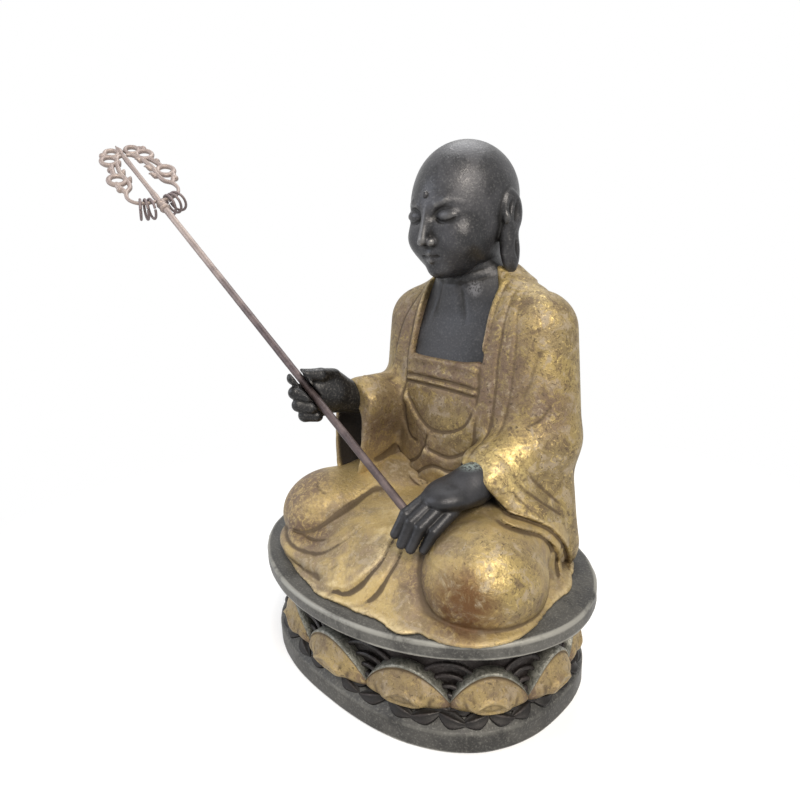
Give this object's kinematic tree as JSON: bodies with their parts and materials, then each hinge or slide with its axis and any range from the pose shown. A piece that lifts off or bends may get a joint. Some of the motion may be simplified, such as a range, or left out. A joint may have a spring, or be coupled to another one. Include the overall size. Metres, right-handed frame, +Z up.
{
  "type": "seated buddhist figure with staff",
  "caption": "Seated shaven-headed buddhist figure in gilt and dark bronze on an oval lotus base, holding a removable ringed staff across the body.",
  "frame": {"origin": "centre of the closing plate's underside, on the ground under the middle of the oval base", "axes": "+Z up, the figure faces -Y, its left side is +X and its right side, with the staff's head, is -X"},
  "size_m": [0.5382, 0.227, 0.4401],
  "materials": {
    "gilt_bronze": "worn gilding over bronze, satin with rubbed highlights and brown recesses",
    "dark_bronze": "black patinated bronze, satin",
    "base_bronze": "dark grey patinated bronze, satin with worn edges",
    "staff_bronze": "weathered bronze, pinkish grey and dull",
    "steel": "plain steel fasteners"
  },
  "bodies": {
    "figure": {"closing_plate": "base_bronze", "closing_plate_screw_1": "steel", "closing_plate_screw_2": "steel", "closing_plate_screw_3": "steel", "closing_plate_screw_4": "steel", "plinth": "base_bronze", "lotus_drum": "base_bronze", "petal_01": "gilt_bronze", "petal_02": "gilt_bronze", "petal_03": "gilt_bronze", "petal_04": "gilt_bronze", "petal_05": "gilt_bronze", "petal_06": "gilt_bronze", "petal_07": "gilt_bronze", "petal_08": "gilt_bronze", "petal_09": "gilt_bronze", "petal_10": "gilt_bronze", "petal_11": "gilt_bronze", "petal_12": "gilt_bronze", "rim_plate": "base_bronze", "figure_stud_right": "steel", "figure_washer_right": "steel", "figure_nut_right": "steel", "figure_stud_left": "steel", "figure_washer_left": "steel", "figure_nut_left": "steel", "lower_robe": "gilt_bronze", "upper_robe": "gilt_bronze", "chest_and_neck": "dark_bronze", "head": "dark_bronze", "forehead_bead": "dark_bronze", "right_hand": "dark_bronze", "left_hand": "dark_bronze"},
    "staff": {"staff_shaft": "staff_bronze", "staff_collar": "staff_bronze", "staff_spindle": "staff_bronze", "staff_tip": "staff_bronze", "staff_frame_left": "staff_bronze", "staff_frame_right": "staff_bronze"},
    "ring_left_1": {"ring_left_1": "staff_bronze"},
    "ring_left_2": {"ring_left_2": "staff_bronze"},
    "ring_left_3": {"ring_left_3": "staff_bronze"},
    "ring_right_1": {"ring_right_1": "staff_bronze"},
    "ring_right_2": {"ring_right_2": "staff_bronze"},
    "ring_right_3": {"ring_right_3": "staff_bronze"}
  },
  "joints": [
    {"name": "staff_slide", "type": "slide", "parent": "figure", "child": "staff", "axis": [-0.8281, 0, 0.5606], "range_m": [0, 0.13]},
    {"name": "ring_left_1_swing", "type": "hinge", "parent": "staff", "child": "ring_left_1", "pos_m": [-0.29857, -0.04143, 0.38164], "axis": [0.046, 0.9673, 0.2493], "range_deg": [-40, 40]},
    {"name": "ring_left_2_swing", "type": "hinge", "parent": "staff", "child": "ring_left_2", "pos_m": [-0.29873, -0.03694, 0.38305], "axis": [-0.0958, 0.9368, 0.3365], "range_deg": [-40, 40]},
    {"name": "ring_left_3_swing", "type": "hinge", "parent": "staff", "child": "ring_left_3", "pos_m": [-0.29946, -0.03263, 0.38479], "axis": [-0.2359, 0.8789, 0.4145], "range_deg": [-40, 40]},
    {"name": "ring_right_1_swing", "type": "hinge", "parent": "staff", "child": "ring_right_1", "pos_m": [-0.30088, -0.05857, 0.37823], "axis": [-0.2144, -0.9673, -0.1353], "range_deg": [-40, 40]},
    {"name": "ring_right_2_swing", "type": "hinge", "parent": "staff", "child": "ring_right_2", "pos_m": [-0.30224, -0.06306, 0.37785], "axis": [-0.348, -0.9368, -0.036], "range_deg": [-40, 40]},
    {"name": "ring_right_3_swing", "type": "hinge", "parent": "staff", "child": "ring_right_3", "pos_m": [-0.30413, -0.06736, 0.37788], "axis": [-0.4725, -0.8789, 0.0651], "range_deg": [-40, 40]}
  ]
}
